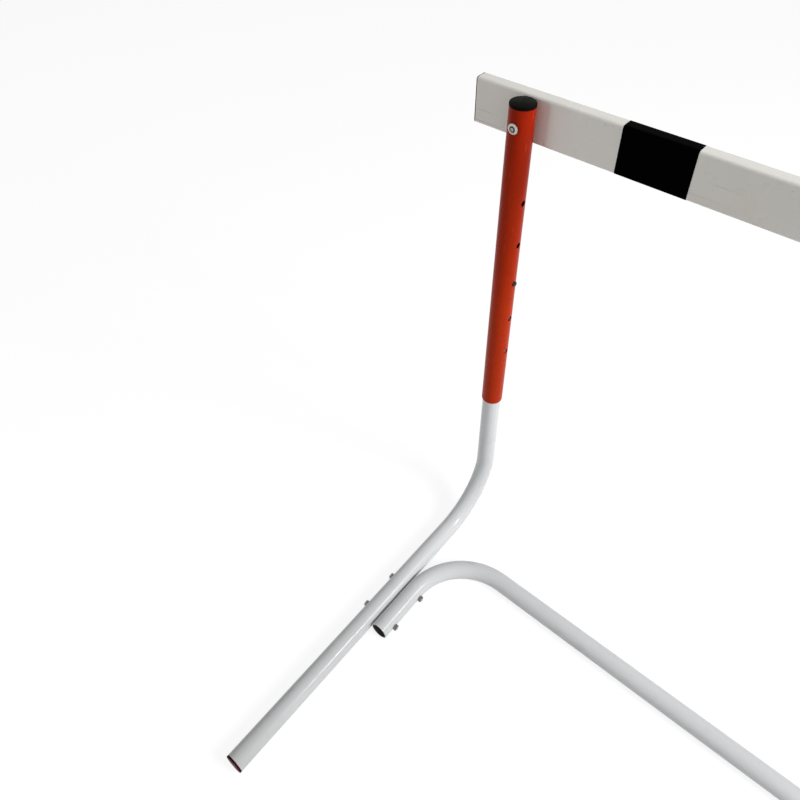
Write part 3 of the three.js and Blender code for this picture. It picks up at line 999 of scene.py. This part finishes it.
WHITE_PAINT = white_paint()
BARE_STEEL = bare_steel()
RED_PAINT = red_paint()
BOARD_PLASTIC = board_plastic()
BLACK_FILM = black_film()
BLACK_PLASTIC = moulded(
    "black_plastic",
    light=srgb(13, 13, 10),
    dark=srgb(8, 8, 6),
    scuffed=srgb(26, 26, 22),
    grain=0.015 * MM,
    gloss=0.022,
)
MAROON_PLASTIC = moulded(
    "maroon_plastic",
    light=srgb(66, 14, 18),
    dark=srgb(48, 10, 14),
    scuffed=srgb(96, 52, 50),
    grain=0.015 * MM,
    gloss=0.02,
)
GREY_PLASTIC = moulded(
    "grey_plastic",
    light=srgb(104, 106, 101),
    dark=srgb(90, 92, 88),
    scuffed=srgb(72, 72, 68),
    grain=0.012 * MM,
    gloss=0.2,
)
BRIGHT_ZINC = plated("bright_zinc", srgb(210, 204, 198), srgb(184, 178, 172), srgb(128, 120, 112))
ZINC_STEEL = plated("zinc_steel", srgb(150, 149, 145), srgb(120, 119, 116), srgb(84, 82, 78))
DULL_ZINC = plated("dull_zinc", srgb(126, 125, 122), srgb(100, 99, 96), srgb(66, 64, 61))
# Dark grimy zinc; on the bolts' bands and in sockets it is also painted shade and dark reflection
GRIME_AND_SHADE_ZINC = plated("grime_and_shade_zinc", srgb(66, 60, 54), srgb(48, 43, 38), srgb(30, 27, 24))
SPRING_STEEL = plated("spring_steel", srgb(150, 152, 154), srgb(132, 134, 138), srgb(90, 86, 80))


# Assembly
def dress(piece, body, materials, node):
    """Gives a piece its materials and its body, and puts it in the place of a node."""
    for material in materials:
        piece.data.materials.append(material)
    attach(piece, body)
    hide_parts(node)


def angle_inward(inward):
    """The angle round an upright tube at which it faces the other side."""
    return 0 if inward > 0 else HALF_TURN


def build_leg(side, inward):
    x = -inward * UPRIGHT_X
    foot_end = (x, UPRIGHT_Y - FOOT_LENGTH, TUBE_RADIUS)
    path = BentPath(((x, UPRIGHT_Y, LEG_TOP), (x, UPRIGHT_Y, TUBE_RADIUS), foot_end), across=(1, 0, 0))
    holes = [(LEG_TOP - MIDDLE_HOLE_Z, angle_inward(inward), SNAP_HOLE_RADIUS)]
    for y in JOINT_BOLTS.values():
        from_end = FOOT_LENGTH - y
        holes += [(path.length - from_end, angle, BOLT_HOLE) for angle in (0, HALF_TURN)]
    leg = tube(f"{side}_leg_tube", path, TUBE_RADIUS, TUBE_BORE, holes)
    dress(leg, "base", [WHITE_PAINT, BARE_STEEL], f"{side}_leg")


def build_foot_plug(side, inward):
    origin = (-inward * UPRIGHT_X, UPRIGHT_Y - FOOT_LENGTH - SEAT_GAP, TUBE_RADIUS)
    plug = turned(f"{side}_foot_end_plug", foot_plug_profile, origin, (0, -1, 0))
    dress(plug, "base", [MAROON_PLASTIC], f"{side}_foot_plug")


def build_sleeve(side, inward):
    x = -inward * UPRIGHT_X
    path = BentPath(((x, UPRIGHT_Y, SLEEVE_BOTTOM), (x, UPRIGHT_Y, SLEEVE_TOP)), across=(1, 0, 0))
    facing_in = angle_inward(inward)
    lowest = MIDDLE_HOLE_Z - SETTING_STEP * (SETTING_COUNT - 1) / 2 - SLEEVE_BOTTOM
    holes = [(lowest + SETTING_STEP * i, facing_in, SNAP_HOLE_RADIUS) for i in range(SETTING_COUNT)]
    bolt = BOARD_MIDDLE_Z - SLEEVE_BOTTOM
    holes += [(bolt, angle, BOARD_BOLT_HOLE) for angle in (QUARTER_TURN, 3 * QUARTER_TURN)]
    sleeve = tube(f"{side}_sleeve_tube", path, SLEEVE_RADIUS, SLEEVE_BORE, holes)
    dress(sleeve, "bar_frame", [RED_PAINT, BARE_STEEL], f"{side}_sleeve")
    cap = turned(f"{side}_cap", cap_profile, (x, UPRIGHT_Y, SLEEVE_TOP + SEAT_GAP), (0, 0, 1))
    dress(cap, "bar_frame", [BLACK_PLASTIC], f"{side}_sleeve_cap")


def build_joint_fasteners(side, inward, name, y):
    length = 2 * TUBE_RADIUS + ARM_OFFSET + 2 * SEAT_GAP + HEX_NUT + TAIL
    head_x = -inward * (UPRIGHT_X + TUBE_RADIUS + SEAT_GAP)
    nut_x = -inward * (UPRIGHT_X - ARM_OFFSET - TUBE_RADIUS - SEAT_GAP)
    bolt = turned(
        f"{side}_{name}_hex_bolt",
        lambda angle: hex_bolt_profile(angle, length),
        (head_x, UPRIGHT_Y - y, TUBE_RADIUS),
        (-inward, 0, 0),
        columns=SMALL_COLUMNS,
        bevel=False,
        second=range(HEX_SHANK_START, len(hex_bolt_profile(0, length))),
    )
    dress(bolt, "base", [ZINC_STEEL, BRIGHT_ZINC], f"{side}_{name}_joint_bolt")
    nut = turned(
        f"{side}_{name}_hex_nut",
        hex_nut_profile,
        (nut_x, UPRIGHT_Y - y, TUBE_RADIUS),
        (inward, 0, 0),
        ring=True,
        columns=SMALL_COLUMNS,
    )
    dress(nut, "base", [DULL_ZINC], f"{side}_{name}_joint_nut")


def build_board_fasteners(side, inward):
    x = -inward * UPRIGHT_X
    head_face = SLEEVE_RADIUS + SEAT_GAP
    board_back = BOARD_MIDDLE_Y + BOARD_HALF_DEPTH
    length = head_face + board_back - UPRIGHT_Y - BOARD_BOLT_SHORT
    # The head's second material paints a dark reflection round its socket and a shadow round its flange
    bolt = turned(
        f"{side}_button_head_bolt",
        lambda angle: button_bolt_profile(angle, length),
        (x, UPRIGHT_Y - head_face, BOARD_MIDDLE_Z),
        (0, -1, 0),
        columns=SMALL_COLUMNS,
        bevel=False,
        second=(*INNER_DOME_BANDS, *FLANGE_BANDS),
    )
    dress(bolt, "bar_frame", [BRIGHT_ZINC, GRIME_AND_SHADE_ZINC], f"{side}_board_bolt")
    washer_place = (x, board_back + SEAT_GAP, BOARD_MIDDLE_Z)
    washer = turned(f"{side}_flat_washer", washer_profile, washer_place, (0, 1, 0), ring=True)
    dress(washer, "bar_frame", [ZINC_STEEL], f"{side}_board_washer")
    nut_y = board_back + 2 * SEAT_GAP + WASHER_THICKNESS
    # The nut's socket gets painted shade
    nut = turned(
        f"{side}_barrel_nut",
        barrel_nut_profile,
        (x, nut_y, BOARD_MIDDLE_Z),
        (0, 1, 0),
        columns=SMALL_COLUMNS,
        bevel=False,
        second=SOCKET_BANDS,
    )
    dress(nut, "bar_frame", [ZINC_STEEL, GRIME_AND_SHADE_ZINC], f"{side}_board_nut")


def build_spring(side, inward):
    """The V-shaped leaf behind the button."""
    x = -inward * UPRIGHT_X
    top = Vector((x + inward * LEAF_NEAR, UPRIGHT_Y, MIDDLE_HOLE_Z + LEAF_ABOVE))
    corner = Vector((top.x, UPRIGHT_Y, MIDDLE_HOLE_Z - LEAF_BELOW))
    tip = Vector((x - inward * LEAF_FAR, UPRIGHT_Y, MIDDLE_HOLE_Z + LEAF_TIP_RISE))
    path = BentPath((top, corner, tip), across=(0, 1, 0), bend_radius=LEAF_BEND_RADIUS)
    section = rounded_loop(LEAF_HALF_WIDTH, LEAF_HALF_THICKNESS, LEAF_ROUND)
    rows = path.bend_rows() + [path.length * i / LEAF_ROWS for i in range(LEAF_ROWS + 1)]
    builder = bmesh.new()
    rings = []
    for distance in distinct(rows):
        centre, along = path.at(distance)
        normal = path.across.cross(along)
        rings.append(ring_of(builder, [centre + path.across * a + normal * b for a, b in section]))
    closed_run(builder, rings)
    spring = finish_mesh(f"{side}_leaf_spring", builder)
    spring.data.materials.append(SPRING_STEEL)
    held = Vector((top.x, UPRIGHT_Y, MIDDLE_HOLE_Z - BUTTON_FLANGE_RADIUS))
    from_far_leaf = (held - corner) - (held - corner).project(tip - corner)
    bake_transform(spring)
    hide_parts(f"{side}_snap_spring")


def build_button(side, inward):
    origin = (-inward * UPRIGHT_X, UPRIGHT_Y, MIDDLE_HOLE_Z)
    button = turned(f"{side}_button", button_profile, origin, (inward, 0, 0), columns=SMALL_COLUMNS)
    # The button's dark zinc is partly painted shade, where it sits in its hole
    dress(button, f"{side}_button", [GRIME_AND_SHADE_ZINC], f"{side}_snap_button")


def build_cross_tube():
    arm_x = UPRIGHT_X - ARM_OFFSET
    back_y = UPRIGHT_Y - CROSS_SETBACK
    end_y = UPRIGHT_Y - CROSS_ARM_END
    places = ((-arm_x, end_y), (-arm_x, back_y), (arm_x, back_y), (arm_x, end_y))
    path = BentPath([(x, y, TUBE_RADIUS) for x, y in places], across=(0, 0, 1))
    holes = []
    for y in JOINT_BOLTS.values():
        from_end = CROSS_ARM_END - y
        for distance in (from_end, path.length - from_end):
            holes += [(distance, angle, BOLT_HOLE) for angle in (QUARTER_TURN, 3 * QUARTER_TURN)]
    cross = tube("cross_bar_tube", path, TUBE_RADIUS, TUBE_BORE, holes)
    dress(cross, "base", [WHITE_PAINT, BARE_STEEL], "cross_tube")


def build_board():
    dress(board_profile(), "bar_frame", [BOARD_PLASTIC], "hurdle_board")
    for side, inward in SIDES.items():
        film = stripe_film(f"{side}_black_band", -inward)
        dress(film, "bar_frame", [BLACK_FILM], f"{side}_stripe_film")
        plug = board_plug(f"{side}_end_plug", -inward)
        dress(plug, "bar_frame", [GREY_PLASTIC], f"{side}_board_plug")


for side, inward in SIDES.items():
    build_leg(side, inward)
    build_foot_plug(side, inward)
    build_sleeve(side, inward)
    for name, y in JOINT_BOLTS.items():
        build_joint_fasteners(side, inward, name, y)
    build_board_fasteners(side, inward)
    build_button(side, inward)
    build_spring(side, inward)
build_cross_tube()
build_board()


# Floor, light and camera
def seen_directly(tree):
    """1 for rays from the camera, a reflection or a see-through surface, else 0."""
    rays = tree.nodes.new("ShaderNodeLightPath")
    total = rays.outputs["Is Camera Ray"]
    for name in ("Is Glossy Ray", "Is Transmission Ray"):
        add = tree.nodes.new("ShaderNodeMath")
        add.operation = "ADD"
        add.use_clamp = True
        tree.links.new(total, add.inputs[0])
        tree.links.new(rays.outputs[name], add.inputs[1])
        total = add.outputs["Value"]
    return total


def build_floor():
    """A pale floor. Where it is seen directly it glows in part, and elsewhere it is a plain surface."""
    builder = bmesh.new()
    bmesh.ops.create_grid(builder, x_segments=1, y_segments=1, size=FLOOR_HALF)
    mesh = bpy.data.meshes.new("floor")
    builder.to_mesh(mesh)
    builder.free()
    floor = bpy.data.objects.new("floor", mesh)
    bpy.context.scene.collection.objects.link(floor)
    material = bpy.data.materials.new("pale_floor")
    material.use_nodes = True
    tree = material.node_tree
    tree.nodes.clear()
    plain = tree.nodes.new("ShaderNodeBsdfDiffuse")
    plain.inputs["Color"].default_value = FLOOR_ALBEDO
    glow = tree.nodes.new("ShaderNodeEmission")
    glow.inputs["Strength"].default_value = FLOOR_GLOW
    share = tree.nodes.new("ShaderNodeMath")
    share.operation = "MULTIPLY"
    share.inputs[1].default_value = FLOOR_SHARE
    tree.links.new(seen_directly(tree), share.inputs[0])
    mixed = tree.nodes.new("ShaderNodeMixShader")
    tree.links.new(share.outputs["Value"], mixed.inputs[0])
    tree.links.new(plain.outputs["BSDF"], mixed.inputs[1])
    tree.links.new(glow.outputs["Emission"], mixed.inputs[2])
    output = tree.nodes.new("ShaderNodeOutputMaterial")
    tree.links.new(mixed.outputs["Shader"], output.inputs["Surface"])
    mesh.materials.append(material)


def build_world():
    """An even studio, white where it is seen directly and weaker as a light."""
    world = bpy.data.worlds.new("studio")
    bpy.context.scene.world = world
    world.use_nodes = True
    tree = world.node_tree
    shade = tree.nodes["Background"]
    strength = tree.nodes.new("ShaderNodeMapRange")
    tree.links.new(seen_directly(tree), strength.inputs["Value"])
    strength.inputs["To Min"].default_value = WORLD_LIGHT
    strength.inputs["To Max"].default_value = WORLD_SEEN
    shade.inputs["Color"].default_value = WORLD_COLOUR
    tree.links.new(strength.outputs["Result"], shade.inputs["Strength"])


def area_lamp(name, direction, distance, size, power):
    data = bpy.data.lights.new(name, "AREA")
    data.shape = "RECTANGLE"
    data.size, data.size_y = size
    data.energy = power
    lamp = bpy.data.objects.new(name, data)
    towards = Vector(direction).normalized()
    lamp.location = Vector(LAMP_TARGET) + towards * distance
    lamp.rotation_euler = towards.to_track_quat("Z", "Y").to_euler()
    bpy.context.scene.collection.objects.link(lamp)
    return lamp


def build_camera():
    data = bpy.data.cameras.new("camera")
    data.sensor_fit = "HORIZONTAL"
    data.sensor_width = CAMERA_SENSOR
    data.lens = CAMERA_LENS
    data.shift_x, data.shift_y = CAMERA_SHIFT
    camera = bpy.data.objects.new("camera", data)
    camera.location = CAMERA_PLACE
    camera.rotation_euler = (math.radians(CAMERA_TILT), 0, math.radians(CAMERA_TURN))
    bpy.context.scene.collection.objects.link(camera)
    bpy.context.scene.camera = camera


build_floor()
build_world()
area_lamp("key", KEY_DIRECTION, KEY_DISTANCE, KEY_SIZE, KEY_POWER).visible_glossy = False
area_lamp("fill", FILL_DIRECTION, FILL_DISTANCE, FILL_SIZE, FILL_POWER).visible_glossy = False
area_lamp("glint", GLINT_DIRECTION, GLINT_DISTANCE, GLINT_SIZE, GLINT_POWER).visible_diffuse = False
build_camera()
bpy.context.scene.view_settings.view_transform = "Standard"
